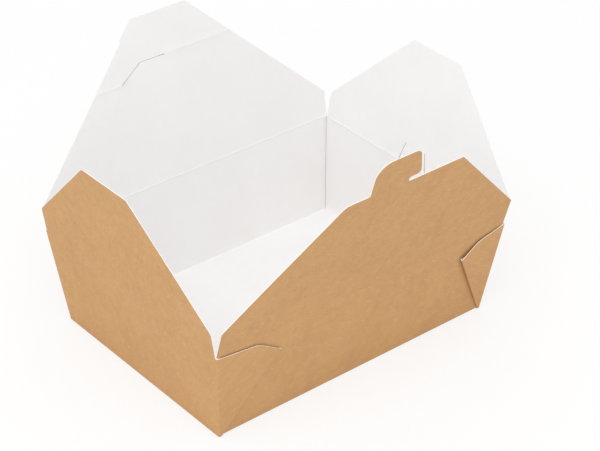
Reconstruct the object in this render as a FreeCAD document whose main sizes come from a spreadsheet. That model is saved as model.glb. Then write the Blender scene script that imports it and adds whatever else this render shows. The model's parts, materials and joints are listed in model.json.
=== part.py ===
import FreeCAD, Part
import os
import Sketcher

# Takeaway box of folded paperboard, open, as it stands on a table.
# Origin at the centre of the underside of the base, +Z up, +X along the length.
# The front wall, whose flap carries the hooked tongue, faces -Y.

doc = FreeCAD.newDocument("TakeawayBox")

DRIVING_SIZES = [
    ("board_thickness", 0.5, "paperboard"),
    ("base_length", 197, "base along X"),
    ("base_width", 142, "base along Y"),
    ("end_crease_height", 62, "crease of the two end flaps above the table"),
    ("end_lean", 6.9, "degrees that the end walls lean out"),
    ("side_lean", 8.4, "degrees that the front and back walls lean out"),
    ("stack_clearance", 0.2, "air between closed flaps, one above the other"),
    ("crease_clearance", 0.15, "air between a wall's top edge and its flap"),
    ("corner_clearance", 0.4, "air between a flap's end and the board beside it"),
    ("fold_gap", 0.15, "air between the two layers of a gusset"),
    ("corner_round", 0.9, "outside of the bend from an end wall into its gusset"),
    ("fold_fullness", 0.8, "rounding of a fold, as a share of the board"),
    ("gusset_root", 1.6, "width of a gusset where it leaves the base"),
    ("notch_bend_run", 23.5, "corner to the bend in a gusset's top edge"),
    ("notch_bend_drop", 5.5, "end crease down to that bend"),
    ("notch_tip_drop", 15.3, "end crease down to the gusset's tip"),
    ("left_tilt", 9, "degrees that the left flap stands out from upright"),
    ("right_tilt", 13, "the same, right flap"),
    ("front_tilt", 16, "the same, front flap"),
    ("back_tilt", 9, "the same, back flap"),
    ("end_flap_depth", 75, "end flap, crease to straight edge"),
    ("end_flap_shoulder", 16.4, "end flap, crease to the start of its slant"),
    ("end_flap_edge", 40.6, "end flap, length of its straight edge"),
    ("flap_round", 1.5, "rounding of a flap's plain corners"),
    ("vent_height", 12.5, "slits in the right flap, crease to upper end"),
    ("vent_foot_spacing", 23.6, "slits in the right flap, apart at the crease"),
    ("vent_head_spacing", 17, "slits in the right flap, apart at the upper end"),
    ("slit_width", 0.35, "every knife slit"),
    ("front_depth", 78.6, "front flap, crease to edge, right of the tongue"),
    ("front_left_depth", 79.8, "front flap, crease to edge, left of the tongue"),
    ("front_shoulder", 17.3, "front flap, crease to the start of its slants"),
    ("front_edge_left", 36.5, "front flap's edge, centre to left corner"),
    ("front_edge_right", 47.7, "front flap's edge, centre to right corner"),
    ("front_shoulder_round", 8, "rounding of the edge's left corner"),
    ("tongue_height", 22.7, "tongue above the front flap's right edge"),
    ("tongue_left", 19.8, "centre to the tongue's left side"),
    ("tongue_top_right", 10.2, "centre to the tongue's top right corner"),
    ("tongue_left_round", 10, "rounding of the tongue's top left corner"),
    ("tongue_right_round", 5.5, "rounding of the tongue's top right corner"),
    ("hook_reach", 16, "centre to the point of the hook"),
    ("hook_round", 2.5, "rounding of the hook's point"),
    ("hook_slot_end", 7.3, "centre to the closed end of the slot under the hook"),
    ("hook_slot_width", 3.2, "slot under the hook"),
    ("hook_slot_round", 1.5, "rounding of the slot's closed end"),
    ("back_depth", 105.8, "back flap, crease to edge"),
    ("back_long_shoulder", 16.4, "back flap, crease to its long slant"),
    ("back_short_shoulder", 14.8, "back flap, crease to its steep slant"),
    ("back_peak", 9.1, "back flap, centre to the end of the long slant"),
    ("back_corner", 30.2, "back flap, centre to the corner over the steep slant"),
    ("back_corner_round", 3.5, "rounding of that corner"),
    ("jog_from_centre", 38.6, "jog in the steep slant, centre to its foot"),
    ("jog_drop", 11.6, "jog in the steep slant, back flap's edge down to its foot"),
    ("jog_step", 0.8, "jog, out and up"),
    ("lock_low", 68.3, "back flap, crease to the low part of the stepped line"),
    ("lock_high", 78.4, "back flap, crease to the high part of the stepped line"),
    ("lock_low_end", 42, "centre to where the stepped line's slit begins to rise"),
    ("lock_rise_end", 27.2, "centre to where it stops rising"),
    ("lock_slit_end", 10.3, "centre to the slit's end"),
    ("groove_width", 0.7, "pressed crease groove in the back flap"),
    ("groove_depth", 0.12, "the same groove, below the outside face"),
]

sheet = doc.addObject("Spreadsheet::Sheet", "Sizes")
for row, (alias, value, note) in enumerate(DRIVING_SIZES, start=1):
    sheet.set(f"A{row}", alias)
    sheet.set(f"B{row}", str(value))
    sheet.set(f"C{row}", note)
    sheet.setAlias(f"B{row}", alias)
doc.recompute()

# Lengths that follow from the driving sizes, as expressions on the sheet.
BOARD = "Sizes.board_thickness"
END_BOARD = "(Sizes.board_thickness / cos(Sizes.end_lean))"
SIDE_BOARD = "(Sizes.board_thickness / cos(Sizes.side_lean))"
SIDE_FOLD_GAP = "(Sizes.fold_gap / cos(Sizes.side_lean))"
STACK_STEP = "(Sizes.board_thickness + Sizes.stack_clearance)"
END_CREASE = "Sizes.end_crease_height"
BACK_CREASE = f"({END_CREASE} + {STACK_STEP})"
FRONT_CREASE = f"({BACK_CREASE} + {STACK_STEP})"
SEAT_DROP = "(Sizes.board_thickness / 2 + Sizes.crease_clearance)"
FOLD_ROUND = "(Sizes.board_thickness * Sizes.fold_fullness)"
THROUGH_BOARD = "(4 * Sizes.board_thickness)"


def end_face(height):
    """Centre to the outside of an end wall, at a height."""
    return f"(Sizes.base_length / 2 + {height} * tan(Sizes.end_lean))"


def side_face(height):
    """Centre to the outside of the front or back wall, at a height."""
    return f"(Sizes.base_width / 2 + {height} * tan(Sizes.side_lean))"


def wall_top(crease):
    return f"({crease} - {SEAT_DROP})"


def side_wall_end(height):
    """Centre to the end of the front or back wall, clear of the end wall inside."""
    return f"({end_face(height)} - {END_BOARD} - Sizes.fold_gap)"


SIDE_FLAP_HALF = f"({end_face(END_CREASE)} - {BOARD} - Sizes.corner_clearance)"
END_FLAP_HALF = f"({side_face(END_CREASE)} - {SIDE_BOARD} - Sizes.corner_clearance)"


# Sketch helpers

def origin_plane(body, role):
    for feature in body.Origin.OriginFeatures:
        if feature.Role == role:
            return feature
    raise ValueError(role)


def new_sketch(body, name, role, offset=None):
    """An empty sketch on an origin plane of its body, lifted off it by offset."""
    sketch = body.newObject("Sketcher::SketchObject", name)
    sketch.AttachmentSupport = (origin_plane(body, role), [""])
    sketch.MapMode = "FlatFace"
    if offset:
        sketch.setExpression("AttachmentOffset.Base.z", offset)
    return sketch


def drive(sketch, constraint, expression):
    index = sketch.addConstraint(constraint)
    sketch.setExpression(f"Constraints[{index}]", expression)


def closed_outline(sketch, corners):
    """Straight lines through corners, each corner bound to two expressions."""
    count = len(corners)
    spread = FreeCAD.Rotation(FreeCAD.Vector(0, 0, 1), 360.0 / count)
    point = FreeCAD.Vector(50, 0, 0)
    for corner in corners:
        following = spread.multVec(point)
        sketch.addGeometry(Part.LineSegment(point, following), False)
        point = following
    for index in range(count):
        sketch.addConstraint(Sketcher.Constraint("Coincident", index, 2, (index + 1) % count, 1))
    for index, (across, along) in enumerate(corners):
        drive(sketch, Sketcher.Constraint("DistanceX", -1, 1, index, 1, 1.0), across)
        drive(sketch, Sketcher.Constraint("DistanceY", -1, 1, index, 1, 1.0), along)
    doc.recompute()


def corner_edges(feature, sketch, indices):
    """Names of the straight edges that rise from some corners of an outline."""
    names = []
    for index in indices:
        spot = sketch.Placement.multVec(sketch.Geometry[index].StartPoint)
        normal = sketch.Placement.Rotation.multVec(FreeCAD.Vector(0, 0, 1))
        for number, edge in enumerate(feature.Shape.Edges, start=1):
            ends = [vertex.Point - spot for vertex in edge.Vertexes]
            if len(ends) != 2:
                continue
            off_axis = [(end - normal * end.dot(normal)).Length for end in ends]
            if max(off_axis) < 1e-5:
                names.append(f"Edge{number}")
    return names


def rising_edges(feature, foot, indices):
    """Names of the edges that climb from some corners of a loft's foot section."""
    names = []
    for index in indices:
        spot = foot.Geometry[index].StartPoint
        for number, edge in enumerate(feature.Shape.Edges, start=1):
            ends = [vertex.Point for vertex in edge.Vertexes]
            meets = min((end - spot).Length for end in ends) < 1e-5
            if meets and edge.BoundBox.ZLength > edge.Length / 2:
                names.append(f"Edge{number}")
    return names


def bottom_edges(feature, direction):
    """Names of the longest bottom edges that run along a direction, outer side first."""
    found = []
    for number, edge in enumerate(feature.Shape.Edges, start=1):
        flat = edge.BoundBox.ZMax < 1e-5
        run = edge.Vertexes[-1].Point - edge.Vertexes[0].Point
        if flat and abs(run.dot(direction)) > 0.99 * edge.Length:
            middle = edge.CenterOfMass
            outward = (middle - direction * middle.dot(direction)).Length
            found.append((-outward, number))
    return [f"Edge{number}" for outward, number in sorted(found)]


def round_edges(body, name, feature, names, radius):
    fillet = body.newObject("PartDesign::Fillet", name)
    fillet.Base = (feature, names)
    fillet.setExpression("Radius", radius)
    doc.recompute()
    return fillet


def pad_through(body, name, sketch, kind, length):
    """A Pad or Pocket, half of its length on each side of the sketch."""
    feature = body.newObject(f"PartDesign::{kind}", name)
    feature.Profile = sketch
    feature.SideType = "Symmetric"
    feature.setExpression("Length", length)
    doc.recompute()
    return feature


# Flaps: each is drawn flat, x along its crease and y away from it, the outside
# of the board towards +z, and is then stood up on its hinge line.

def flap_body(name, corners, rounds, half_crease):
    """Flat flap with rounded corners and a crease edge round about the hinge line."""
    body = doc.addObject("PartDesign::Body", name)
    outline = new_sketch(body, f"{name}_outline", "XY_Plane")
    closed_outline(outline, corners)
    shape = pad_through(body, f"{name}_board", outline, "Pad", BOARD)
    for number, (indices, radius) in enumerate(rounds, start=1):
        names = corner_edges(shape, outline, indices)
        shape = round_edges(body, f"{name}_round{number}", shape, names, radius)
    section = new_sketch(body, f"{name}_crease_section", "YZ_Plane")
    circle = Part.Circle(FreeCAD.Vector(0, 0, 0), FreeCAD.Vector(0, 0, 1), 1.0)
    section.addGeometry(circle, False)
    section.addConstraint(Sketcher.Constraint("Coincident", 0, 3, -1, 1))
    drive(section, Sketcher.Constraint("Radius", 0, 1.0), f"{BOARD} / 2")
    doc.recompute()
    pad_through(body, f"{name}_crease", section, "Pad", f"2 * {half_crease}")
    return body


def stand_up(body, hinge_x, hinge_y, hinge_z, tilt, yaw):
    base = f"create(<<vector>>; {hinge_x}; {hinge_y}; {hinge_z})"
    turn = f"create(<<rotation>>; {yaw}; 0; 90 + {tilt})"
    body.setExpression("Placement", f"create(<<placement>>; {base}; {turn})")


def slit(body, name, line):
    """Knife slit of even width along y about a line of points."""
    half = "Sizes.slit_width / 2"
    lower = [(across, f"{along} - {half}") for across, along in line]
    upper = [(across, f"{along} + {half}") for across, along in reversed(line)]
    sketch = new_sketch(body, f"{name}_line", "XY_Plane")
    closed_outline(sketch, lower + upper)
    return pad_through(body, name, sketch, "Pocket", THROUGH_BOARD)


def crease_groove(body, name, start, end, along):
    """Shallow groove pressed into the outside face, parallel to the crease."""
    half = "Sizes.groove_width / 2"
    low = f"{along} - {half}"
    high = f"{along} + {half}"
    sketch = new_sketch(body, f"{name}_line", "XY_Plane", f"{BOARD} / 2")
    closed_outline(sketch, [(start, low), (end, low), (end, high), (start, high)])
    groove = body.newObject("PartDesign::Pocket", name)
    groove.Profile = sketch
    groove.setExpression("Length", "Sizes.groove_depth")
    doc.recompute()
    return groove


def make_end_flap(name):
    tip = "Sizes.end_flap_edge / 2"
    corners = [
        (f"-{END_FLAP_HALF}", "0"),
        (END_FLAP_HALF, "0"),
        (END_FLAP_HALF, "Sizes.end_flap_shoulder"),
        (tip, "Sizes.end_flap_depth"),
        (f"-{tip}", "Sizes.end_flap_depth"),
        (f"-{END_FLAP_HALF}", "Sizes.end_flap_shoulder"),
    ]
    rounds = [((2, 3, 4, 5), "Sizes.flap_round")]
    return flap_body(name, corners, rounds, END_FLAP_HALF)


def make_left_flap():
    body = make_end_flap("left_flap")
    hinge_x = f"-{end_face(END_CREASE)} + {BOARD} / 2"
    stand_up(body, hinge_x, "0", END_CREASE, "Sizes.left_tilt", "-90")
    return body


def make_right_flap():
    body = make_end_flap("right_flap")
    for name, side in (("front_vent", "-"), ("back_vent", "")):
        foot = f"{side}Sizes.vent_foot_spacing / 2"
        head = f"{side}Sizes.vent_head_spacing / 2"
        half = "Sizes.slit_width / 2"
        sketch = new_sketch(body, f"{name}_line", "XY_Plane")
        closed_outline(sketch, [
            (f"{foot} - {half}", f"-{BOARD}"),
            (f"{foot} + {half}", f"-{BOARD}"),
            (f"{head} + {half}", "Sizes.vent_height"),
            (f"{head} - {half}", "Sizes.vent_height"),
        ])
        pad_through(body, name, sketch, "Pocket", THROUGH_BOARD)
    hinge_x = f"{end_face(END_CREASE)} - {BOARD} / 2"
    stand_up(body, hinge_x, "0", END_CREASE, "Sizes.right_tilt", "90")
    return body


def make_front_flap():
    slot_top = "Sizes.front_depth + Sizes.hook_slot_width"
    tongue_top = "Sizes.front_depth + Sizes.tongue_height"
    corners = [
        (f"-{SIDE_FLAP_HALF}", "0"),
        (SIDE_FLAP_HALF, "0"),
        (SIDE_FLAP_HALF, "Sizes.front_shoulder"),
        ("Sizes.front_edge_right", "Sizes.front_depth"),
        ("Sizes.hook_slot_end", "Sizes.front_depth"),
        ("Sizes.hook_slot_end", slot_top),
        ("Sizes.hook_reach", slot_top),
        ("Sizes.tongue_top_right", tongue_top),
        ("-Sizes.tongue_left", tongue_top),
        ("-Sizes.tongue_left", "Sizes.front_left_depth"),
        ("-Sizes.front_edge_left", "Sizes.front_left_depth"),
        (f"-{SIDE_FLAP_HALF}", "Sizes.front_shoulder"),
    ]
    rounds = [
        ((2, 3, 9, 11), "Sizes.flap_round"),
        ((4, 5), "Sizes.hook_slot_round"),
        ((6,), "Sizes.hook_round"),
        ((7,), "Sizes.tongue_right_round"),
        ((8,), "Sizes.tongue_left_round"),
        ((10,), "Sizes.front_shoulder_round"),
    ]
    body = flap_body("front_flap", corners, rounds, SIDE_FLAP_HALF)
    hinge_y = f"-{side_face(FRONT_CREASE)} + {BOARD} / 2"
    stand_up(body, "0", hinge_y, FRONT_CREASE, "Sizes.front_tilt", "0")
    return body


def make_back_flap():
    jog_across = "Sizes.jog_from_centre"
    jog_foot = "Sizes.back_depth - Sizes.jog_drop"
    corners = [
        (f"-{SIDE_FLAP_HALF}", "0"),
        (SIDE_FLAP_HALF, "0"),
        (SIDE_FLAP_HALF, "Sizes.back_short_shoulder"),
        (jog_across, jog_foot),
        (f"{jog_across} + Sizes.jog_step", f"{jog_foot} + Sizes.jog_step"),
        ("Sizes.back_corner", "Sizes.back_depth"),
        ("-Sizes.back_peak", "Sizes.back_depth"),
        (f"-{SIDE_FLAP_HALF}", "Sizes.back_long_shoulder"),
    ]
    rounds = [
        ((2, 6, 7), "Sizes.flap_round"),
        ((5,), "Sizes.back_corner_round"),
    ]
    body = flap_body("back_flap", corners, rounds, SIDE_FLAP_HALF)
    crease_groove(
        body, "low_crease", "Sizes.lock_low_end", SIDE_FLAP_HALF, "Sizes.lock_low")
    crease_groove(
        body, "high_crease", f"-{SIDE_FLAP_HALF}", "Sizes.lock_slit_end", "Sizes.lock_high")
    slit(body, "lock_slit", [
        ("Sizes.lock_slit_end", "Sizes.lock_high"),
        ("Sizes.lock_rise_end", "Sizes.lock_high"),
        ("Sizes.lock_low_end", "Sizes.lock_low"),
    ])
    hinge_y = f"{side_face(BACK_CREASE)} - {BOARD} / 2"
    stand_up(body, "0", hinge_y, BACK_CREASE, "Sizes.back_tilt", "180")
    return body


# Tray: base, front and back walls, and the two ends. Each end is one folded
# stretch of the sheet: end wall, bend round the corner, outer layer of the
# gusset, fold, and the gusset's inner layer, which is glued to the side wall.

# The fold halves the flat angle between two walls' edges in the blank.
SIDE_EDGE_SLOPE = "atan(tan(Sizes.end_lean) * cos(Sizes.side_lean))"
END_EDGE_SLOPE = "atan(tan(Sizes.side_lean) * cos(Sizes.end_lean))"
FOLD_SLOPE = f"((90 deg - {SIDE_EDGE_SLOPE} - {END_EDGE_SLOPE}) / 2 - {SIDE_EDGE_SLOPE})"


def fold_line(height):
    """Centre to a gusset's fold, at a height."""
    run = f"{height} / cos(Sizes.side_lean) * tan({FOLD_SLOPE})"
    return f"(Sizes.base_length / 2 - Sizes.gusset_root - {run})"


# Corners of end_section that become round edges, front gusset and back gusset.
CORNER_BENDS = (0, 15)
FREE_FOLDS = (1, 14)
GLUED_EDGES = (4, 11)


def end_section(height):
    """Level section through an end wall and its two gussets, left end."""
    inner_layer = side_face(height)
    gap_start = f"({inner_layer} + {SIDE_BOARD})"
    gap_end = f"({gap_start} + {SIDE_FOLD_GAP})"
    outer_layer = f"({gap_end} + {SIDE_BOARD})"
    wall_inside = f"({end_face(height)} - {END_BOARD})"
    gap_bottom = f"({fold_line(height)} + {BOARD})"
    half = [
        (end_face(height), outer_layer),
        (fold_line(height), outer_layer),
        (fold_line(height), inner_layer),
        (side_wall_end(height), inner_layer),
        (side_wall_end(height), gap_start),
        (gap_bottom, gap_start),
        (gap_bottom, gap_end),
        (wall_inside, gap_end),
    ]
    front = [(f"-{across}", f"-{along}") for across, along in half]
    back = [(f"-{across}", along) for across, along in reversed(half)]
    return front + back


# Corners of wall_section where the wall turns into the gussets.
WALL_TURNS = (2, 3)


def wall_section(height):
    """Level section through the front wall, between the two ends' gussets."""
    outside = side_face(height)
    inside = f"({outside} - {SIDE_BOARD})"
    end = side_wall_end(height)
    return [
        (f"-{end}", f"-{outside}"),
        (end, f"-{outside}"),
        (end, f"-{inside}"),
        (f"-{end}", f"-{inside}"),
    ]


def leaning_loft(name, section, top):
    """A body lofted from a section at its top down to the same section on the table."""
    body = doc.addObject("PartDesign::Body", name)
    foot = new_sketch(body, f"{name}_foot", "XY_Plane")
    closed_outline(foot, section("0"))
    head = new_sketch(body, f"{name}_head", "XY_Plane", top)
    closed_outline(head, section(top))
    loft = body.newObject("PartDesign::AdditiveLoft", f"{name}_board")
    loft.Profile = head
    loft.Sections = [foot]
    loft.Ruled = True
    doc.recompute()
    return body, foot, loft


def make_end(name, yaw):
    """End wall with its two folded gussets, drawn at the left and turned by yaw."""
    top = wall_top(END_CREASE)
    body, foot, board = leaning_loft(name, end_section, top)
    bends = rising_edges(board, foot, CORNER_BENDS)
    board = round_edges(body, f"{name}_bends", board, bends, "Sizes.corner_round")
    folds = rising_edges(board, foot, FREE_FOLDS)
    board = round_edges(body, f"{name}_folds", board, folds, FOLD_ROUND)
    crease = bottom_edges(board, FreeCAD.Vector(0, 1, 0))[:1]
    board = round_edges(body, f"{name}_base_crease", board, crease, FOLD_ROUND)
    glued = rising_edges(board, foot, GLUED_EDGES)
    round_edges(body, f"{name}_glued_edges", board, glued, FOLD_ROUND)

    bend_height = f"({END_CREASE} - Sizes.notch_bend_drop * cos(Sizes.side_lean))"
    tip_height = f"({END_CREASE} - Sizes.notch_tip_drop * cos(Sizes.side_lean))"
    above = f"({top} + {BOARD})"
    wall_inside = f"-({end_face(top)} - {END_BOARD})"
    bend = f"-({end_face(END_CREASE)} - Sizes.notch_bend_run)"
    notch = new_sketch(body, f"{name}_notch_outline", "XZ_Plane")
    closed_outline(notch, [
        (wall_inside, top),
        (bend, bend_height),
        (f"-{fold_line(tip_height)}", tip_height),
        ("0", tip_height),
        ("0", above),
        (wall_inside, above),
    ])
    pad_through(body, f"{name}_notch", notch, "Pocket", f"4 * {side_face(top)}")
    body.setExpression("Placement.Rotation.Angle", yaw)
    return body


def make_side_wall(name, yaw, crease):
    """Front or back wall, drawn at the front and turned by yaw."""
    body, foot, board = leaning_loft(name, wall_section, wall_top(crease))
    turns = rising_edges(board, foot, WALL_TURNS)
    board = round_edges(body, f"{name}_turns", board, turns, FOLD_ROUND)
    crease_edge = bottom_edges(board, FreeCAD.Vector(1, 0, 0))[:1]
    round_edges(body, f"{name}_base_crease", board, crease_edge, FOLD_ROUND)
    body.setExpression("Placement.Rotation.Angle", yaw)
    return body


def make_tray():
    base = doc.addObject("Part::Box", "base_panel")
    base.setExpression("Length", f"Sizes.base_length - 2 * {FOLD_ROUND}")
    base.setExpression("Width", f"Sizes.base_width - 2 * {FOLD_ROUND}")
    base.setExpression("Height", BOARD)
    base.setExpression("Placement.Base.x", f"{FOLD_ROUND} - Sizes.base_length / 2")
    base.setExpression("Placement.Base.y", f"{FOLD_ROUND} - Sizes.base_width / 2")
    tray = doc.addObject("Part::MultiFuse", "tray")
    tray.Shapes = [
        base,
        make_side_wall("front_wall", "0", FRONT_CREASE),
        make_side_wall("back_wall", "180", BACK_CREASE),
        make_end("left_end", "0"),
        make_end("right_end", "180"),
    ]
    tray.Refine = True
    return tray


SUB_PARTS = [
    make_tray(),
    make_front_flap(),
    make_back_flap(),
    make_left_flap(),
    make_right_flap(),
]
doc.recompute()

for item in doc.Objects:
    if "Invalid" in item.State or "Error" in item.State:
        raise RuntimeError(f"{item.Label} did not build: {item.State}")

os.makedirs("parts", exist_ok=True)
for part in SUB_PARTS:
    shape = part.Shape
    if shape.isNull() or not shape.isValid() or len(shape.Solids) != 1:
        raise RuntimeError(f"{part.Label} is not one valid solid")
    shape.exportStep(f"parts/{part.Label}.step")
    print(part.Label, round(shape.Volume, 1), "mm3,", len(shape.Faces), "faces", shape.BoundBox)
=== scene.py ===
import json
import math
from collections import namedtuple

import bmesh
import bpy
from mathutils import Matrix, Vector
from mathutils.geometry import delaunay_2d_cdt


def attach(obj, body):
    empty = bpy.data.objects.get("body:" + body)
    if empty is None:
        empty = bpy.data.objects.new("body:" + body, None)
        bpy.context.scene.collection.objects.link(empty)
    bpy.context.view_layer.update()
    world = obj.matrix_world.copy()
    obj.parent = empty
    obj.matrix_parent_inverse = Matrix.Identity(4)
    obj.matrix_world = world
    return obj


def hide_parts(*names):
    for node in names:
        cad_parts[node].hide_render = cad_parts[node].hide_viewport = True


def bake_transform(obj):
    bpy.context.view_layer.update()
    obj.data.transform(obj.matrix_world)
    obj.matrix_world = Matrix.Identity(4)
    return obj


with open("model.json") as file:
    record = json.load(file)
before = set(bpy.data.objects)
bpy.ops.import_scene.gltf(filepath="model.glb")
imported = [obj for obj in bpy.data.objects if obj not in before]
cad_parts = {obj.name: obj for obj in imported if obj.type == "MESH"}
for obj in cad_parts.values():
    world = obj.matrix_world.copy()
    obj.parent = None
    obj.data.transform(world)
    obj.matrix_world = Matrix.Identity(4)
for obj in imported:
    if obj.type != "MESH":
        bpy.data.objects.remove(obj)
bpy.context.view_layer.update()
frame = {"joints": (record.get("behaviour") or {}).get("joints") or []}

# Takeaway box of folded paperboard: brown kraft outside, white clay coat inside.
# Sizes are in millimetres and angles in radians. The walls and flaps have the source's sizes, the
# front gussets follow the photograph corner by corner, and the rest is added for looks.

MM = 0.001
UP = Vector((0, 0, 1))
SHEET_MAP = "Sheet"

BOARD = 0.5
HALF_LENGTH = 98.5
HALF_WIDTH = 71.0
END_LEAN = math.radians(6.9)
SIDE_LEAN = math.radians(8.4)
STACK_CLEARANCE = 0.2
END_CREASE = 62.0
BACK_CREASE = END_CREASE + BOARD + STACK_CLEARANCE
FRONT_CREASE = BACK_CREASE + BOARD + STACK_CLEARANCE
FOLD_GAP = 0.15
GUSSET_ROOT = 1.6
BASE_BEND = 0.65
CORNER_BEND = 0.65
WALL_BELLY = 0.35

# Thickness of a leaning wall, measured level, and the same with the glue under a gusset
END_STEP = BOARD / math.cos(END_LEAN)
SIDE_STEP = BOARD / math.cos(SIDE_LEAN)
GLUED_STEP = SIDE_STEP * 1.04

# The top of each wall that belongs to its flap's piece, and how near a point is to be on that seam
STRIP = 1.2
SEAM_REACH = 0.005

# Finishes of a board, in the order of its material slots; the last is the raw cut edge darkened, painted
# shade for the shadow inside the slits
KRAFT, WHITE, RAW_EDGE, SLIT_EDGE_PAINTED_SHADE = range(4)


# Board: a surface through the middle of the sheet, given its thickness

EDGE_BULGE = 0.07
SHARP_ANGLE = math.radians(38)

# How far a sharp fold may push the faces out, as a multiple of half the board
MAX_SHELL = 1.6

# Decimals of a millimetre that the places of one point agree in
SAME_PLACE = 3
TINY = 1e-9


class Sheet:
    """A middle surface: its points, its faces, and where each face lies on the flat sheet."""

    def __init__(self):
        self.points = []
        self.faces = []
        self.flat = []
        self.index_of = {}

    def keep(self, point):
        """Index of a point, with points in one place kept once."""
        key = tuple(round(value, SAME_PLACE) + 0.0 for value in point)
        if key not in self.index_of:
            self.index_of[key] = len(self.points)
            self.points.append(Vector(point))
        return self.index_of[key]

    def add_face(self, corners, spots, flip):
        face = [self.keep(corner) for corner in corners]
        if flip:
            face.reverse()
            spots = spots[::-1]
        if len(set(face)) == len(face):
            self.faces.append(face)
            self.flat.append(spots)


def free_edges(faces):
    """Edges that only one face has, as (face, place in it, start, end)."""
    found = {}
    for number, face in enumerate(faces):
        for place, start in enumerate(face):
            end = face[(place + 1) % len(face)]
            found.setdefault(frozenset((start, end)), []).append((number, place, start, end))
    return [edges[0] for edges in found.values() if len(edges) == 1]


def two_sides(sheet, crown):
    """Points of the kraft side and of the white side, and the middle surface's normals."""
    middle = bmesh.new()
    corners = [middle.verts.new(point) for point in sheet.points]
    for face in sheet.faces:
        middle.faces.new([corners[index] for index in face])
    middle.normal_update()
    outer = []
    inner = []
    normals = []
    for corner, extra in zip(corners, crown):
        reach = corner.normal * min(corner.calc_shell_factor(), MAX_SHELL)
        outer.append(corner.co + reach * (BOARD / 2))
        inner.append(corner.co - reach * (BOARD / 2 + extra))
        normals.append(corner.normal.copy())
    middle.free()
    return outer, inner, normals


def edge_directions(points, rims, normals):
    """Direction straight out of the cut edge, at each point of it."""
    found = {}
    for number, place, start, end in rims:
        sideways = (points[end] - points[start]).cross(normals[start] + normals[end])
        if sideways.length > TINY:
            sideways.normalize()
        for index in (start, end):
            found[index] = found.get(index, Vector()) + sideways
    for sideways in found.values():
        if sideways.length > TINY:
            sideways.normalize()
    return found


def lay_board(name, sheet, finishes, crown, seam):
    """A board mesh from its middle surface: kraft side out, white side in, raw cut edges.

    The crown is how far the white side stands up at each point. Along the seam, where the board
    runs on in the next piece, there is no cut edge."""
    outer, inner, normals = two_sides(sheet, crown)
    rims = free_edges(sheet.faces)
    count = len(sheet.points)
    places = outer + inner
    bulge = {}
    for index, sideways in edge_directions(sheet.points, rims, normals).items():
        bulge[index] = len(places)
        reach = 0.0 if index in seam else EDGE_BULGE
        places.append((outer[index] + inner[index]) / 2 + sideways * reach)

    made = []
    for face, spots in zip(sheet.faces, sheet.flat):
        made.append((list(face), list(spots), KRAFT))
        made.append(([index + count for index in reversed(face)], list(reversed(spots)), WHITE))
    for number, place, start, end in rims:
        first = sheet.flat[number][place]
        last = sheet.flat[number][(place + 1) % len(sheet.faces[number])]
        spots = [last, first, first, last]
        runs_on = start in seam and end in seam
        upper = [end, start, bulge[start], bulge[end]]
        lower = [bulge[end], bulge[start], start + count, end + count]
        made.append((upper, spots, KRAFT if runs_on else RAW_EDGE))
        made.append((lower, spots, WHITE if runs_on else RAW_EDGE))

    mesh = bpy.data.meshes.new(name)
    mesh.from_pydata([place * MM for place in places], [], [face for face, spots, kind in made])
    layer = mesh.uv_layers.new(name=SHEET_MAP)
    layer.data.foreach_set("uv", [value for face, spots, kind in made for spot in spots for value in spot])
    for finish in finishes:
        mesh.materials.append(finish)
    mesh.polygons.foreach_set("material_index", [kind for face, spots, kind in made])
    mesh.polygons.foreach_set("use_smooth", [True] * len(made))
    mesh.validate()
    mesh.set_sharp_from_angle(angle=SHARP_ANGLE)
    piece = bpy.data.objects.new(name, mesh)
    bpy.context.scene.collection.objects.link(piece)
    return piece


# Tray: base panel and one closed ribbon of board, wall by wall and gusset by gusset

# A gusset's cut top edge: its heights at the corner and at the end wall's inner face, and how far
# past the corner the first of them holds
CORNER_TOP = END_CREASE - 0.25
NOTCH_START = END_CREASE - 0.4
PAST_CORNER = 2.0

# Search for where a column of the board meets that edge
LOWEST_CUT = 20.0
BISECTIONS = 40

# Columns along each part of the ribbon, and rows up its bend out of the base and up its wall
SIDE_STEPS = 16
TURN_STEPS = 6
LAYER_STEPS = 12
END_STEPS = 12
BEND_STEPS = 5
RISE_STEPS = 14

# Run of board in the turn at a wall's end, and in that turn and the free fold together
TURN_RUN = 1.0
BOTH_FOLDS_RUN = 3.0

# The glued layer's edge lies lower than the outer layer's, save near its two ends
GLUED_DROP = 2.2
GLUED_DROP_ONSET = 7.0

# Steps of the turn at a wall's end that still reach the wall's full height
FULL_TURN_STEPS = 2

# The end wall's top steps down to its flap's piece between these places
STEP_OUTER = 79.3
STEP_INNER = 79.24


def seam_height(crease, lean):
    """Height at which the tray's board runs on in a flap's piece."""
    return crease - STRIP * math.cos(lean)


def end_face(height):
    """Centre to the outside of an end wall, at a height."""
    return HALF_LENGTH + height * math.tan(END_LEAN)


def side_face(height):
    """Centre to the outside of the front or back wall, at a height."""
    return HALF_WIDTH + height * math.tan(SIDE_LEAN)


def end_middle(height):
    return end_face(height) - END_STEP / 2


def wall_run(height):
    """Middle of a side wall's board, out from the centre, and where its bend starts."""
    along = end_face(height) - END_STEP - FOLD_GAP - GLUED_STEP / 2 - BOARD / 2
    return along, side_face(height) - SIDE_STEP / 2


def layer_start(height):
    """Where the glued layer starts, after the turn at the wall's end."""
    along, across = wall_run(height)
    return along, across + GLUED_STEP


def outer_base(height):
    """Centre to the middle of a gusset's outer layer, where it lies flat."""
    return layer_start(height)[1] + SIDE_STEP + FOLD_GAP


def belly(along, height):
    """Slight outward belly of a side wall between its corners."""
    across = min(abs(along) / end_face(height), 1.0)
    rise = min(height / END_CREASE, 1.0)
    return WALL_BELLY * (1 - across * across) ** 2 * math.sin(math.pi * rise)


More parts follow.
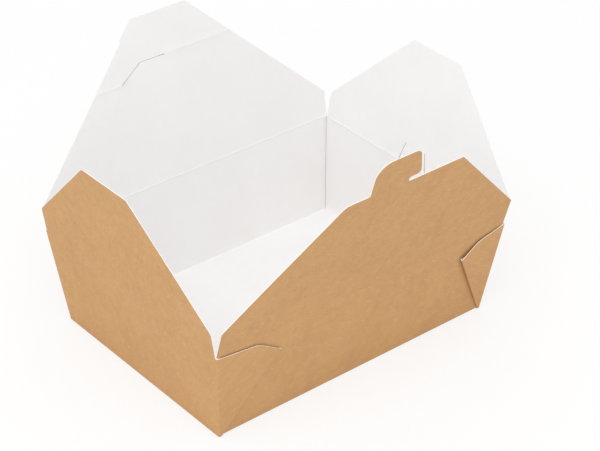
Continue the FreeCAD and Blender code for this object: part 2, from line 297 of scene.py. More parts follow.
class Gusset:
    """One folded corner: where its cut top edge bends and ends, and how far it stands off."""

    def __init__(self, bend_run, bend_height, tip_height, fold_slope, lift):
        self.tip_height = tip_height
        self.fold_slope = fold_slope
        self.lift = lift
        self.notch = [
            (end_face(END_CREASE) + PAST_CORNER, CORNER_TOP),
            (end_face(END_CREASE) - END_STEP, NOTCH_START),
            (end_face(END_CREASE) - bend_run, bend_height),
            (self.fold_line(tip_height), tip_height),
        ]

    def fold_line(self, height):
        """Centre to the fold's edge, at a height."""
        run = height / math.cos(SIDE_LEAN) * math.tan(self.fold_slope)
        return HALF_LENGTH - GUSSET_ROOT - run

    def spread(self, height):
        """How far the free fold stands off the wall, at a height."""
        return self.lift * min(height / self.tip_height, 1.0)

    def opening(self, height):
        """Distance between the middles of the two layers, at the fold."""
        return SIDE_STEP + FOLD_GAP + 0.5 * self.spread(height)

    def fold_start(self, height):
        """Centre to where the free fold leaves the two layers."""
        return self.fold_line(height) + self.opening(height) / 2 + BOARD / 2

    def notch_height(self, along):
        """Height of the cut top edge, at a distance from the centre."""
        for (far, high), (near, low) in zip(self.notch, self.notch[1:]):
            if along >= near:
                return low + (high - low) * (along - near) / (far - near)
        return self.notch[-1][1]

    def cut_height(self, run_at):
        """Height at which a column of the ribbon meets the cut top edge."""
        low = LOWEST_CUT
        high = END_CREASE
        for turn in range(BISECTIONS):
            height = (low + high) / 2
            if self.notch_height(run_at(height)) > height:
                low = height
            else:
                high = height
        return low


# One column of the ribbon. place(height, share) gives x, y and the run along the sheet, and bend
# is the direction in which the foot turns out of the base. A top of 0 or less is counted from
# the gusset's cut edge.
Column = namedtuple("Column", "part place share bend lean top")


class Quarter:
    """The ribbon from a side wall's middle, round one gusset, to an end wall's middle."""

    def __init__(self, crease, gusset):
        self.gusset = gusset
        self.side_top = seam_height(crease, SIDE_LEAN)
        self.end_top = seam_height(END_CREASE, END_LEAN)
        self.columns = []
        self.add_side_columns()
        self.add_end_columns()

    def on_side(self, height, share):
        along, across = wall_run(height)
        return share * along, across, share * along

    def on_wall_turn(self, height, share):
        along, across = wall_run(height)
        turn = math.pi * share
        radius = GLUED_STEP / 2
        x = along + radius * math.sin(turn)
        y = across + radius - radius * math.cos(turn)
        return x, y, along + radius * turn

    def on_glued_layer(self, height, share):
        start, across = layer_start(height)
        x = start + (self.gusset.fold_start(height) - start) * share
        return x, across + self.gusset.spread(height) * share * share, 2 * start - x + TURN_RUN

    def on_free_fold(self, height, share):
        start, across = layer_start(height)
        fold = self.gusset.fold_start(height)
        turn = math.pi * share
        radius = self.gusset.opening(height) / 2
        x = fold - radius * math.sin(turn)
        y = across + self.gusset.spread(height) + radius - radius * math.cos(turn)
        return x, y, 2 * start - fold + TURN_RUN + radius * turn

    def on_outer_layer(self, height, share):
        start = self.gusset.fold_start(height)
        stop = end_middle(height) - CORNER_BEND
        x = start + (stop - start) * share
        free = 1 - share
        apart = self.gusset.spread(height) + self.gusset.opening(height)
        extra = (apart - SIDE_STEP - FOLD_GAP) * free * free
        unrolled = 2 * layer_start(height)[0] - start + BOTH_FOLDS_RUN
        return x, outer_base(height) + extra, unrolled + (x - start)

    def on_corner(self, height, share):
        stop = end_middle(height) - CORNER_BEND
        turn = math.pi / 2 * share
        x = stop + CORNER_BEND * math.sin(turn)
        y = outer_base(height) - CORNER_BEND + CORNER_BEND * math.cos(turn)
        start = self.gusset.fold_start(height)
        far = 2 * layer_start(height)[0] - start + BOTH_FOLDS_RUN
        return x, y, far + stop - start + CORNER_BEND * turn

    def on_end(self, height, share):
        y = share * (outer_base(height) - CORNER_BEND)
        return end_middle(height), y, y

    def add(self, part, place, share, top, bend=(0.0, 1.0), lean=SIDE_LEAN):
        self.columns.append(Column(part, place, share, bend, lean, top))

    def add_side_columns(self):
        """The side wall, its turned end, and the gusset's glued layer, free fold and outer layer."""
        for step in range(SIDE_STEPS + 1):
            self.add("side", self.on_side, step / SIDE_STEPS, self.side_top)
        for step in range(1, TURN_STEPS + 1):
            share = step / TURN_STEPS
            notch = self.gusset.notch_height(self.on_wall_turn(END_CREASE, share)[0])
            top = notch if step > FULL_TURN_STEPS else self.side_top
            self.add("wall turn", self.on_wall_turn, share, top)
        for step in range(1, LAYER_STEPS + 1):
            share = step / LAYER_STEPS
            drop = GLUED_DROP * min(1.0, GLUED_DROP_ONSET * share * (1 - share))
            self.add("glued layer", self.on_glued_layer, share, -drop)
        for step in range(1, TURN_STEPS + 1):
            self.add("free fold", self.on_free_fold, step / TURN_STEPS, 0.0)
        for step in range(1, LAYER_STEPS + 1):
            self.add("outer layer", self.on_outer_layer, step / LAYER_STEPS, 0.0)

    def add_end_columns(self):
        """The bend round the corner, and the end wall to its middle."""
        for step in range(1, TURN_STEPS + 1):
            share = step / TURN_STEPS
            turn = math.pi / 2 * share
            bend = (math.sin(turn), math.cos(turn))
            lean = SIDE_LEAN + (END_LEAN - SIDE_LEAN) * share
            self.add("corner", self.on_corner, share, CORNER_TOP, bend, lean)
        low_half = outer_base(BOARD / 2) - CORNER_BEND
        high_half = outer_base(END_CREASE) - CORNER_BEND
        base_edge = wall_run(BOARD / 2)[1] - BASE_BEND * math.tan((math.pi / 2 - SIDE_LEAN) / 2)
        shares = [STEP_OUTER / high_half, STEP_INNER / high_half, base_edge / low_half]
        shares += [step / END_STEPS for step in range(END_STEPS - 1, -1, -1)]
        for share in shares:
            top = CORNER_TOP if share == shares[0] else self.end_top
            self.add("end", self.on_end, share, top, (1.0, 0.0), END_LEAN)

    def column_points(self, column):
        """Places up one column, the bend out of the base and then the wall: (point, run, rise)."""
        swing = math.pi / 2 - column.lean
        tangent = BASE_BEND * math.tan(swing / 2)
        rows = []
        for step in range(BEND_STEPS + 1):
            turn = swing * step / BEND_STEPS
            height = BOARD / 2 + BASE_BEND * (1 - math.cos(turn))
            inset = (height - BOARD / 2) * math.tan(column.lean) + tangent - BASE_BEND * math.sin(turn)
            rows.append((height, inset, BASE_BEND * turn))
        foot, inset, arc = rows[-1]
        top = column.top
        if top <= 0:
            top += self.gusset.cut_height(lambda height: column.place(height, column.share)[0])
        for step in range(1, RISE_STEPS + 1):
            height = foot + (top - foot) * step / RISE_STEPS
            rows.append((height, 0.0, arc + (height - foot) / math.cos(column.lean)))
        found = []
        for height, inset, rise in rows:
            x, y, run = column.place(height, column.share)
            if column.part not in ("corner", "end"):
                y += belly(x, height)
            found.append(((x - column.bend[0] * inset, y - column.bend[1] * inset, height), run, rise))
        return found


def add_quarter(sheet, x_side, y_side, quarter):
    """Walls, gusset and base panel of one quarter of the tray."""
    columns = quarter.columns
    grid = [quarter.column_points(column) for column in columns]
    flip = x_side * y_side > 0
    base_y = grid[0][0][0][1]
    base_x = grid[-1][0][0][0]

    def spot(part, run, rise):
        if part == "end":
            return x_side * (base_x + rise), y_side * run
        return x_side * run, y_side * (base_y + rise)

    for number in range(len(columns) - 1):
        part = columns[number + 1].part
        joins_corner = part == "end" and columns[number].part == "corner"
        for row in range(BEND_STEPS + RISE_STEPS):
            four = [
                grid[number][row],
                grid[number + 1][row],
                grid[number + 1][row + 1],
                grid[number][row + 1],
            ]
            corners = [(x_side * p[0], y_side * p[1], p[2]) for p, run, rise in four]
            spots = [spot(part, p[1] if joins_corner else run, rise) for p, run, rise in four]
            sheet.add_face(corners, spots, flip)

    across = [grid[number][0][0][0] for number in range(SIDE_STEPS + 1)] + [base_x]
    feet = [rows[0][0][1] for rows, column in zip(grid, columns) if column.part == "end"]
    depths = sorted({foot for foot in feet if foot <= base_y + TINY})
    for low_x, high_x in zip(across, across[1:]):
        for low_y, high_y in zip(depths, depths[1:]):
            four = [(low_x, low_y), (high_x, low_y), (high_x, high_y), (low_x, high_y)]
            spots = [(x_side * x, y_side * y) for x, y in four]
            sheet.add_face([(x, y, BOARD / 2) for x, y in spots], spots, flip)


def build_tray(finishes):
    front_left = Gusset(
        bend_run=28.9, bend_height=58.1, tip_height=47.0, fold_slope=math.radians(37.8), lift=0.2)
    front_right = Gusset(
        bend_run=20.3, bend_height=57.6, tip_height=49.4, fold_slope=math.radians(26.0), lift=1.1)
    # The back gussets are hidden, so they have the slope that folding these two walls gives.
    side_slope = math.atan(math.tan(END_LEAN) * math.cos(SIDE_LEAN))
    end_slope = math.atan(math.tan(SIDE_LEAN) * math.cos(END_LEAN))
    fold_slope = (math.pi / 2 - side_slope - end_slope) / 2 - side_slope
    back = Gusset(bend_run=23.5, bend_height=56.5, tip_height=46.9, fold_slope=fold_slope, lift=0.4)

    sheet = Sheet()
    add_quarter(sheet, -1, -1, Quarter(FRONT_CREASE, front_left))
    add_quarter(sheet, 1, -1, Quarter(FRONT_CREASE, front_right))
    add_quarter(sheet, -1, 1, Quarter(BACK_CREASE, back))
    add_quarter(sheet, 1, 1, Quarter(BACK_CREASE, back))
    heights = [seam_height(END_CREASE, END_LEAN)]
    heights += [seam_height(crease, SIDE_LEAN) for crease in (BACK_CREASE, FRONT_CREASE)]
    seam = {index for index, point in enumerate(sheet.points)
            if min(abs(point.z - height) for height in heights) < SEAM_REACH}
    return lay_board("folded_tray", sheet, finishes, [0.0] * len(sheet.points), seam)


# Flaps: outline on the flat sheet, x along the crease and y away from it

# The flaps run on to the corners, closer than the solids, which keep clear of the board beside them
FLAP_END_GAP = 0.05
SIDE_HALF = end_face(END_CREASE) - BOARD - FLAP_END_GAP
END_HALF = side_face(END_CREASE) - SIDE_STEP - FLAP_END_GAP
FLAP_ROUND = 1.5
SLIT_WIDTH = 0.35

END_FLAP_DEPTH = 75.0
END_FLAP_SHOULDER = 16.4
END_FLAP_EDGE = 40.6

VENT_HEIGHT = 12.5
VENT_FOOT_SPACING = 23.6
VENT_HEAD_SPACING = 17.0
VENT_START = -0.5

# How far a face of a slit's wall may lie outside the slit: along, below and above it
SLIT_MARGIN = (0.6, 0.4, 0.8)

FRONT_DEPTH = 78.6
FRONT_LEFT_DEPTH = 79.8
FRONT_SHOULDER = 17.3
FRONT_EDGE_LEFT = 36.5
FRONT_EDGE_RIGHT = 47.7
FRONT_SHOULDER_ROUND = 8.0
TONGUE_TOP = FRONT_DEPTH + 22.7
TONGUE_LEFT = 19.8
TONGUE_TOP_RIGHT = 10.2
TONGUE_LEFT_ROUND = 10.0
TONGUE_RIGHT_ROUND = 5.5
HOOK_REACH = 16.0
HOOK_ROUND = 2.5
HOOK_SLOT_END = 7.3
HOOK_SLOT_TOP = FRONT_DEPTH + 3.2

BACK_DEPTH = 105.8
BACK_LONG_SHOULDER = 16.4
BACK_SHORT_SHOULDER = 14.8
BACK_PEAK = 9.1
BACK_CORNER = 30.2
BACK_CORNER_ROUND = 3.5
JOG_FROM_CENTRE = 38.6
JOG_FOOT = BACK_DEPTH - 11.6
JOG_STEP = 0.8
LOCK_LOW = 68.3
LOCK_HIGH = 78.4
LOCK_LOW_START = 58.2
LOCK_LOW_END = 42.0
LOCK_RISE_END = 27.2
LOCK_SLIT_END = 10.3
LOCK_HIGH_END = -41.0

# Half of the stretch that bends at a crease, and rows of edges that let it bend smoothly
CREASE_HALF = 1.0
CREASE_ROWS = (-1.0, -0.7, -0.45, -0.25, 0.0, 0.25, 0.45, 0.7, 1.0)
PRESSED_ROWS = (-0.7, -0.35, 0.0, 0.35, 0.7)

# Height and width of the bead on a crease's white side, and of a line pressed into the kraft side
CREASE_BEAD = (0.24, 0.42)
PRESSED_LINE = (0.18, 0.35)

# Unevenness of an open flap: a wave along and across it, and its corners drawn back
WAVE_HEIGHT = 0.18
WAVE_LENGTH_ALONG = 31.0
WAVE_LENGTH_ACROSS = 23.0
CORNERS_BACK = 0.25

# Where a wall starts on the flat sheet, before the base's edge, and the run of its bend
BEND_START = 0.5
BEND_RUN = 0.35

# Mesh of a flap: steps of an arc, grid of inner points, least gaps, and triangles left out as slivers
ARC_STEP = 1.2
POINT_SPACING = 6.0
POINT_MARGIN = 1.6
MERGE_GAP = 1e-4
SLIVER_HEIGHT = 0.004

OUTWARD = {
    "front_flap": Vector((0, -1, 0)),
    "back_flap": Vector((0, 1, 0)),
    "left_flap": Vector((-1, 0, 0)),
    "right_flap": Vector((1, 0, 0)),
}


def end_flap_corners():
    half_edge = END_FLAP_EDGE / 2
    return [
        (END_HALF, END_FLAP_SHOULDER, FLAP_ROUND),
        (half_edge, END_FLAP_DEPTH, FLAP_ROUND),
        (-half_edge, END_FLAP_DEPTH, FLAP_ROUND),
        (-END_HALF, END_FLAP_SHOULDER, FLAP_ROUND),
    ]


def front_flap_corners():
    return [
        (SIDE_HALF, FRONT_SHOULDER, FLAP_ROUND),
        (FRONT_EDGE_RIGHT, FRONT_DEPTH, FLAP_ROUND),
        (HOOK_SLOT_END, FRONT_DEPTH, FLAP_ROUND),
        (HOOK_SLOT_END, HOOK_SLOT_TOP, FLAP_ROUND),
        (HOOK_REACH, HOOK_SLOT_TOP, HOOK_ROUND),
        (TONGUE_TOP_RIGHT, TONGUE_TOP, TONGUE_RIGHT_ROUND),
        (-TONGUE_LEFT, TONGUE_TOP, TONGUE_LEFT_ROUND),
        (-TONGUE_LEFT, FRONT_LEFT_DEPTH, FLAP_ROUND),
        (-FRONT_EDGE_LEFT, FRONT_LEFT_DEPTH, FRONT_SHOULDER_ROUND),
        (-SIDE_HALF, FRONT_SHOULDER, FLAP_ROUND),
    ]


def back_flap_corners():
    return [
        (SIDE_HALF, BACK_SHORT_SHOULDER, FLAP_ROUND),
        (JOG_FROM_CENTRE, JOG_FOOT, 0.0),
        (JOG_FROM_CENTRE + JOG_STEP, JOG_FOOT + JOG_STEP, 0.0),
        (BACK_CORNER, BACK_DEPTH, BACK_CORNER_ROUND),
        (-BACK_PEAK, BACK_DEPTH, FLAP_ROUND),
        (-SIDE_HALF, BACK_LONG_SHOULDER, FLAP_ROUND),
    ]


def lock_slit():
    line = [(LOCK_SLIT_END, LOCK_HIGH), (LOCK_RISE_END, LOCK_HIGH), (LOCK_LOW_END, LOCK_LOW)]
    lower = [(x, y - SLIT_WIDTH / 2) for x, y in line]
    upper = [(x, y + SLIT_WIDTH / 2) for x, y in reversed(line)]
    return lower + upper


def lock_lines():
    return [
        ((LOCK_LOW_END, LOCK_LOW), (LOCK_LOW_START, LOCK_LOW)),
        ((LOCK_HIGH_END, LOCK_HIGH), (LOCK_SLIT_END, LOCK_HIGH)),
    ]


def vent_slit(side):
    foot = side * VENT_FOOT_SPACING / 2
    head = side * VENT_HEAD_SPACING / 2
    half = SLIT_WIDTH / 2
    return [
        (foot - half, VENT_START), (foot + half, VENT_START),
        (head + half, VENT_HEIGHT), (head - half, VENT_HEIGHT),
    ]


def flap_outline(half, corners):
    """A flap's foot and its corners, (x, y, rounding) each, with arcs at the rounded ones."""
    ring = [(-half, -STRIP, 0.0), (half, -STRIP, 0.0)] + corners
    outline = []
    for index, (x, y, radius) in enumerate(ring):
        if not radius:
            outline.append((x, y))
            continue
        here = Vector((x, y))
        before = (Vector(ring[index - 1][:2]) - here).normalized()
        after = (Vector(ring[(index + 1) % len(ring)][:2]) - here).normalized()
        half_angle = before.angle(after) / 2
        reach = radius / math.tan(half_angle)
        centre = here + (before + after).normalized() * (radius / math.sin(half_angle))
        first = here + before * reach - centre
        last = here + after * reach - centre
        swing = math.atan2(first.cross(last), first.dot(last))
        steps = max(3, int(abs(swing) * radius / ARC_STEP) + 3)
        for step in range(steps + 1):
            turned = first.copy()
            turned.rotate(Matrix.Rotation(swing * step / steps, 2))
            outline.append(tuple(centre + turned))
    return outline


def inside(point, outline):
    """Whether a point lies inside an outline, told by how many borders are to its right."""
    hit = False
    for index, corner in enumerate(outline):
        before = outline[index - 1]
        if (corner[1] > point[1]) != (before[1] > point[1]):
            rise = (point[1] - before[1]) / (corner[1] - before[1])
            if point[0] < before[0] + rise * (corner[0] - before[0]):
                hit = not hit
    return hit


def gap_to(point, start, end):
    """Distance from a point to the line from start to end."""
    run = Vector(end) - Vector(start)
    off = Vector(point) - Vector(start)
    share = min(max(off.dot(run) / run.length_squared, 0.0), 1.0)
    return (off - run * share).length


def spaced(start, end):
    """Evenly spaced places from start towards end, without the end."""
    start = Vector(start)
    end = Vector(end)
    steps = max(1, int((end - start).length / POINT_SPACING))
    return [start.lerp(end, step / steps) for step in range(steps)]


def bare_points(outline, lines):
    """A grid of points inside an outline, away from its border and from every line."""
    found = []
    columns = int(max(abs(corner[0]) for corner in outline) / POINT_SPACING)
    rows = int(max(corner[1] for corner in outline) / POINT_SPACING)
    for row in range(1, rows + 1):
        for column in range(-columns, columns + 1):
            point = (column * POINT_SPACING, row * POINT_SPACING)
            if not inside(point, outline):
                continue
            if min(gap_to(point, start, end) for start, end in lines) > POINT_MARGIN:
                found.append(Vector(point))
    return found


def is_sliver(first, second, third):
    """Whether a triangle is so low that it only joins points of one straight border."""
    longest = max((second - first).length, (third - second).length, (first - third).length)
    return abs((second - first).cross(third - first)) < SLIVER_HEIGHT * longest


def cut_flap(outline, holes, scores):
    """Triangles of a flap's outline, with holes left out and edges along every score."""
    spots = []
    edges = []
    borders = []
    for ring in [outline] + list(holes):
        start = len(spots)
        for index, corner in enumerate(ring):
            spots += spaced(corner, ring[(index + 1) % len(ring)])
            borders.append((ring[index - 1], corner))
        total = len(spots) - start
        edges += [(start + index, start + (index + 1) % total) for index in range(total)]
    for start, end in scores:
        first = len(spots)
        spots += spaced(start, end) + [Vector(end)]
        edges += [(index, index + 1) for index in range(first, len(spots) - 1)]
    spots += bare_points(outline, borders + list(scores))
    vertices, lines, faces, *rest = delaunay_2d_cdt(spots, edges, [], 0, MERGE_GAP)
    kept = []
    for face in faces:
        corners = [vertices[index] for index in face]
        if is_sliver(*corners):
            continue
        middle = (corners[0] + corners[1] + corners[2]) / 3
        if inside(middle, outline) and not any(inside(middle, hole) for hole in holes):
            kept.append(list(face))
    used = sorted({index for face in kept for index in face})
    renamed = {old: new for new, old in enumerate(used)}
    return [vertices[index] for index in used], [[renamed[index] for index in face] for face in kept]


def ridge(distance, size):
    """Height of a rounded bead at a distance from its line."""
    height, width = size
    return height * math.exp(-(distance / width) ** 2)


class Crease:
    """The bend between a wall and its flap: its place, its directions and the two slopes."""

    def __init__(self, name):
        joint = next(j for j in frame["joints"] if j["child"] == name)
        side = name in ("front_flap", "back_flap")
        self.hinge = Vector(joint["pos_m"]) / MM
        self.tilt = math.radians(joint["range_deg"][1] - 90)
        self.lean = SIDE_LEAN if side else END_LEAN
        self.out = OUTWARD[name]
        self.along = UP.cross(self.out)
        wall = (self.hinge.z - BOARD / 2) / math.cos(self.lean)
        self.sheet_start = (HALF_WIDTH if side else HALF_LENGTH) - BEND_START + wall + BEND_RUN

    def slope(self, angle):
        """Direction up a board that leans out by an angle."""
        return self.out * math.sin(angle) + UP * math.cos(angle)

    def place(self, y):
        """Middle of the board at a distance y from the crease, and the way out of its face."""
        share = min(max((y + CREASE_HALF) / (2 * CREASE_HALF), 0.0), 1.0)
        turn = self.lean + (self.tilt - self.lean) * share
        middle = self.lean + (self.tilt - self.lean) * 0.5
        if y > CREASE_HALF:
            start = self.slope((self.tilt + middle) / 2) * CREASE_HALF
            place = start + self.slope(self.tilt) * (y - CREASE_HALF)
        elif y < -CREASE_HALF:
            start = self.slope((self.lean + middle) / 2) * -CREASE_HALF
            place = start + self.slope(self.lean) * (y + CREASE_HALF)
        else:
            place = self.slope((turn + middle) / 2) * y
        return place, self.out * math.cos(turn) - UP * math.sin(turn)

    def flat_spot(self, x, y):
        spot = self.along * x + self.out * (self.sheet_start + y)
        return spot.x, spot.y


def paint_shade_on_slit_walls(piece, crease, holes):
    """Give the walls of a flap's slits the darkened edge finish: painted shade for the shadow inside each
    narrow slit.
    """
    rise = crease.slope(crease.tilt)
    beside, below, over = SLIT_MARGIN
    for face in piece.data.polygons:
        if face.material_index != RAW_EDGE:
            continue
        gap = face.center / MM - crease.hinge
        x = gap.dot(crease.along)
        y = gap.dot(rise)
        for hole in holes:
            xs = [corner[0] for corner in hole]
            ys = [corner[1] for corner in hole]
            in_width = min(xs) - beside < x < max(xs) + beside
            if in_width and min(ys) - below < y < max(ys) + over:
                face.material_index = SLIT_EDGE_PAINTED_SHADE


def build_flap(name, finishes, half, corners, curl, holes=(), lines=()):
    """Flap with the top of its wall below it, bent along the crease between them."""
    crease = Crease(name)
    outline = flap_outline(half, corners)
    scores = [((-half, row), (half, row)) for row in CREASE_ROWS]
    for start, end in lines:
        run = (Vector(end) - Vector(start)).normalized()
        across = Vector((-run.y, run.x))
        for shift in PRESSED_ROWS:
            scores.append((Vector(start) + across * shift, Vector(end) + across * shift))
    spots, faces = cut_flap(outline, holes, scores)
    depth = max(corner[1] for corner in outline)

    sheet = Sheet()
    sheet.faces = faces
    crown = []
    for spot in spots:
        x, y = spot
        place, face_out = crease.place(y)
        reach = max(y, 0.0) / depth
        ripple = math.sin(x / WAVE_LENGTH_ALONG + y / WAVE_LENGTH_ACROSS)
        wave = curl * reach * reach + WAVE_HEIGHT * reach * ripple
        wave -= CORNERS_BACK * reach * (x / half) ** 2
        for start, end in lines:
            wave -= ridge(gap_to(spot, start, end), PRESSED_LINE)
        sheet.points.append(crease.hinge + crease.along * x + place + face_out * wave)
        crown.append(ridge(y, CREASE_BEAD))
    sheet.flat = [[crease.flat_spot(*spots[index]) for index in face] for face in faces]
    seam = {index for index, spot in enumerate(spots) if spot[1] < SEAM_REACH - STRIP}
    piece = lay_board(name + "_board", sheet, finishes, crown, seam)
    # The slit walls get the darker finish: painted shade for the shadow inside them
    paint_shade_on_slit_walls(piece, crease, holes)
    low = crease.hinge - crease.slope(crease.lean) * STRIP
    high = crease.hinge + crease.slope(crease.tilt) * STRIP
    low * MM
    high * MM
    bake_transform(piece)
    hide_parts(name)
    return piece


def build_flaps(finishes):
    return [
        build_flap("front_flap", finishes, SIDE_HALF, front_flap_corners(), curl=0.5),
        build_flap("back_flap", finishes, SIDE_HALF, back_flap_corners(), curl=0.8,
                   holes=[lock_slit()], lines=lock_lines()),
        build_flap("left_flap", finishes, END_HALF, end_flap_corners(), curl=0.5),
        build_flap("right_flap", finishes, END_HALF, end_flap_corners(), curl=0.4,
                   holes=[vent_slit(-1), vent_slit(1)]),
    ]


# Finishes

KRAFT_DEEP = (0.442, 0.245, 0.109, 1.0)
KRAFT_PLAIN = (0.640, 0.374, 0.170, 1.0)
KRAFT_BRIGHT = (0.74, 0.48, 0.25, 1.0)
KRAFT_FLECK = (0.24, 0.13, 0.06, 1.0)
COAT_LOW = (0.870, 0.858, 0.850, 1.0)
COAT_HIGH = (0.910, 0.899, 0.893, 1.0)
EDGE_LOW = (0.84, 0.77, 0.69)
EDGE_HIGH = (0.93, 0.91, 0.88)
# The slit walls' edge colours are multiplied by this: painted shade for the shadow inside a narrow slit
SLIT_PAINTED_SHADE = 0.42


class Sock:
    """A node's output that can stand in sums, and the one way to add a node."""

    def __init__(self, tree, output=None):
        self.tree = tree
        self.output = output

    def node(self, kind, settings, inputs, output=0):
        made = self.tree.nodes.new(kind)
        for name, value in settings.items():
            setattr(made, name, value)
        for name, value in inputs.items():
            if isinstance(value, Sock):
                self.tree.links.new(value.output, made.inputs[name])
            else:
                made.inputs[name].default_value = value
        return Sock(self.tree, made.outputs[output])

    def maths(self, operation, first, second):
        return self.node("ShaderNodeMath", {"operation": operation}, {0: first, 1: second})

    def __add__(self, other):
        return self.maths("ADD", self, other)

    def __radd__(self, other):
        return self.maths("ADD", other, self)

    def __sub__(self, other):
        return self.maths("SUBTRACT", self, other)

    def __mul__(self, other):
        return self.maths("MULTIPLY", self, other)


def new_finish(name):
    finish = bpy.data.materials.new(name)
    finish.use_nodes = True
    finish.node_tree.nodes.clear()
    return finish, Sock(finish.node_tree)


def to_surface(shader, kind="ShaderNodeOutputMaterial"):
    out = shader.tree.nodes.new(kind)
    shader.tree.links.new(shader.output, out.inputs["Surface"])


def sheet_place(start):
    return start.node("ShaderNodeUVMap", {"uv_map": SHEET_MAP}, {})


def turned(at, degrees, stretch):
    spun = at.node("ShaderNodeVectorRotate", {"rotation_type": "Z_AXIS"},
                   {"Vector": at, "Angle": math.radians(degrees)})
    return at.node("ShaderNodeVectorMath", {"operation": "MULTIPLY"}, {0: spun, 1: stretch})


def grain(at, scale, detail, roughness=0.5):
    return at.node("ShaderNodeTexNoise", {"noise_dimensions": "2D"},
                   {"Vector": at, "Scale": scale, "Detail": detail, "Roughness": roughness})


def above(value, low, high):
    """0 below low, 1 above high."""
    return value.node("ShaderNodeMapRange", {"clamp": True},
                      {"Value": value, "From Min": low, "From Max": high, "To Min": 0.0, "To Max": 1.0})


def fibres(at, degrees, stretch, scale, detail, low, high):
    """Short strokes that lie one way, from 0 between them to 1 on them."""
    return above(grain(turned(at, degrees, stretch), scale, detail), low, high)


def tint(under, over, share):
    """One colour laid over another, by a share from 0 to 1."""
    start = share if isinstance(share, Sock) else under
    return start.node("ShaderNodeMix", {"data_type": "RGBA"}, {0: share, 6: under, 7: over}, output=2)


def bumps(height, strength, depth):
    """Unevenness of a face, its depth in metres."""
    return height.node("ShaderNodeBump", {}, {"Strength": strength, "Distance": depth, "Height": height})


def board_surface(colour, roughness, bump, specular):
    to_surface(colour.node("ShaderNodeBsdfPrincipled", {}, {
        "Base Color": colour, "Roughness": roughness, "Normal": bump, "Specular IOR Level": specular}))


def kraft_face():
    finish, start = new_finish("kraft_face")
    at = sheet_place(start)
    cloud = grain(at, scale=0.03, detail=3.0, roughness=0.6)
    mottle = grain(at, scale=0.16, detail=4.0, roughness=0.65)
    fine = grain(at, scale=0.9, detail=3.0, roughness=0.6)
    long_fibre = fibres(at, 8, (0.22, 1.5, 1.0), scale=0.9, detail=2.0, low=0.62, high=0.74)
    cross_fibre = fibres(at, 64, (0.3, 1.6, 1.0), scale=0.9, detail=2.0, low=0.64, high=0.76)
    pale_fibre = fibres(at, -31, (0.25, 1.1, 1.0), scale=0.7, detail=1.0, low=0.68, high=0.76)
    stray_fibre = fibres(at, 24, (0.2, 1.0, 1.0), scale=0.75, detail=1.0, low=0.7, high=0.77)
    fleck = above(grain(at, scale=0.75, detail=1.0), low=0.74, high=0.8)
    tone = above(cloud * 0.3 + mottle * 0.45 + fine * 0.25, low=0.2, high=0.8)
    colour = tint(KRAFT_DEEP, KRAFT_PLAIN, 0.45 + tone * 0.9)
    colour = tint(colour, KRAFT_BRIGHT, pale_fibre * 0.4)
    colour = tint(colour, KRAFT_BRIGHT, stray_fibre * 0.3)
    colour = tint(colour, KRAFT_DEEP, long_fibre * 0.15)
    colour = tint(colour, KRAFT_DEEP, cross_fibre * 0.12)
    colour = tint(colour, KRAFT_FLECK, fleck * 0.35)
    height = fine * 0.5 + mottle * 0.3 + pale_fibre * 0.3 - long_fibre * 0.2
    bump = bumps(height, strength=0.25, depth=0.00012)
    board_surface(colour, 0.72 + fine * 0.12, bump, specular=0.2)
    return finish


def white_face():
    finish, start = new_finish("white_clay_coat")
    at = sheet_place(start)
    cloud = grain(at, scale=0.025, detail=2.0, roughness=0.5)
    mottle = grain(at, scale=0.22, detail=3.0, roughness=0.6)
    fine = grain(at, scale=1.4, detail=2.0, roughness=0.6)
    tone = above(cloud * 0.5 + mottle * 0.3 + fine * 0.2, low=0.25, high=0.75)
    colour = tint(COAT_LOW, COAT_HIGH, tone)
    bump = bumps(fine * 0.4 + mottle * 0.6, strength=0.12, depth=0.0001)
    board_surface(colour, 0.46 + mottle * 0.12, bump, specular=0.4)
    return finish


# A cut edge's colours times a share; below 1 it is painted shade, as on the slit walls
def cut_edge(name, shade):
    finish, start = new_finish(name)
    at = turned(sheet_place(start), 20, (1.0, 1.6, 1.0))
    fibre = grain(at, scale=1.6, detail=3.0, roughness=0.7)
    low = (*(value * shade for value in EDGE_LOW), 1.0)
    high = (*(value * shade for value in EDGE_HIGH), 1.0)
    colour = tint(low, high, above(fibre, low=0.25, high=0.6))
    bump = bumps(fibre, strength=0.3, depth=0.0001)
    board_surface(colour, 0.8 + fibre * 0.1, bump, specular=0.3)
    return finish


# Table, room, lamps and camera, in metres

TABLE_REACH = 4.0
TABLE_DROP = 0.0001
TABLE_LOW = (0.93, 0.93, 0.94, 1.0)
TABLE_HIGH = (0.95, 0.95, 0.955, 1.0)
TABLE_BOUNCE = (0.85, 0.85, 0.85, 1.0)
TABLE_WHITENED = 0.75
PURE_WHITE = (1.0, 1.0, 1.0, 1.0)
ROOM_LEVEL = 0.835

CAMERA_PLACE = (-0.632317, -0.780198, 0.712376)
CAMERA_LOOK = (0.537536, 0.644923, -0.543258)
CAMERA_UP = (0.340902, 0.423050, 0.839532)
CAMERA_LENS = 123.662
CAMERA_SENSOR = 36.0


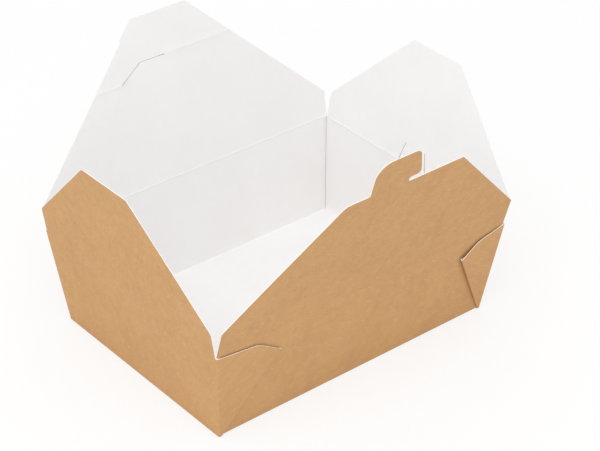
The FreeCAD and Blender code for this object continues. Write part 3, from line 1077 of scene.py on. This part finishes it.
def build_table():
    """White table: shown partly as plain white, and a little duller to the light it throws back."""
    finish, start = new_finish("white_table")
    at = start.node("ShaderNodeTexCoord", {}, {}, output="Object")
    speck = grain(at, scale=60.0, detail=2.0)
    lit = start.node("ShaderNodeBsdfDiffuse", {}, {"Color": tint(TABLE_LOW, TABLE_HIGH, speck)})
    dim = start.node("ShaderNodeBsdfDiffuse", {}, {"Color": TABLE_BOUNCE})
    white = start.node("ShaderNodeEmission", {}, {"Color": PURE_WHITE, "Strength": 1.0})
    shown = start.node("ShaderNodeMixShader", {}, {0: TABLE_WHITENED, 1: lit, 2: white})
    seen = start.node("ShaderNodeLightPath", {}, {}, output="Is Camera Ray")
    to_surface(start.node("ShaderNodeMixShader", {}, {0: seen, 1: dim, 2: shown}))
    mesh = bpy.data.meshes.new("table_top")
    corners = [(-1, -1), (1, -1), (1, 1), (-1, 1)]
    mesh.from_pydata([(x * TABLE_REACH, y * TABLE_REACH, 0) for x, y in corners], [], [(0, 1, 2, 3)])
    mesh.materials.append(finish)
    table = bpy.data.objects.new("table_top", mesh)
    table.location.z = -TABLE_DROP
    bpy.context.scene.collection.objects.link(table)


def build_world():
    """Even room light, seen as plain white by the camera and in what shines."""
    world = bpy.data.worlds.new("studio")
    bpy.context.scene.world = world
    world.use_nodes = True
    world.node_tree.nodes.clear()
    start = Sock(world.node_tree)
    room = start.node("ShaderNodeBackground", {}, {"Color": PURE_WHITE, "Strength": ROOM_LEVEL})
    white = start.node("ShaderNodeBackground", {}, {"Color": PURE_WHITE, "Strength": 1.0})
    seen = start.node("ShaderNodeLightPath", {}, {}, output="Is Camera Ray")
    gloss = start.node("ShaderNodeLightPath", {}, {}, output="Is Glossy Ray")
    through = start.node("ShaderNodeLightPath", {}, {}, output="Is Transmission Ray")
    shown = start.maths("MAXIMUM", start.maths("MAXIMUM", seen, gloss), through)
    mixed = start.node("ShaderNodeMixShader", {}, {0: shown, 1: room, 2: white})
    to_surface(mixed, "ShaderNodeOutputWorld")


def add_lamp(name, place, target, size, power):
    lamp = bpy.data.lights.new(name, "AREA")
    lamp.shape = "SQUARE"
    lamp.size = size
    lamp.energy = power
    lit = bpy.data.objects.new(name, lamp)
    lit.location = place
    lit.rotation_euler = (Vector(target) - Vector(place)).to_track_quat("-Z", "Y").to_euler()
    bpy.context.scene.collection.objects.link(lit)


def build_camera():
    data = bpy.data.cameras.new("camera")
    data.sensor_width = CAMERA_SENSOR
    data.lens = CAMERA_LENS
    camera = bpy.data.objects.new("camera", data)
    look = Vector(CAMERA_LOOK).normalized()
    right = look.cross(Vector(CAMERA_UP)).normalized()
    turn = Matrix((right, right.cross(look), -look)).transposed().to_4x4()
    camera.matrix_world = Matrix.Translation(CAMERA_PLACE) @ turn
    bpy.context.scene.collection.objects.link(camera)
    bpy.context.scene.camera = camera


build_camera()
# The slit edge finish is the raw edge painted darker, painted shade inside the slits
FINISHES = [kraft_face(), white_face(), cut_edge("raw_cut_edge", 1.0), cut_edge("slit_edge_painted_shade", SLIT_PAINTED_SHADE)]
tray = build_tray(FINISHES)
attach(tray, "tray")
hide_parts("tray")
for flap in build_flaps(FINISHES):
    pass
build_table()
build_world()
add_lamp("overhead_softbox", place=(-0.55, -0.55, 1.52), target=(0.0, 0.0, 0.05), size=1.4, power=10.4)
add_lamp("left_softbox", place=(-1.6, -0.25, 0.55), target=(0.0, 0.0, 0.06), size=1.0, power=1.5)

bpy.context.scene.view_settings.view_transform = "Standard"
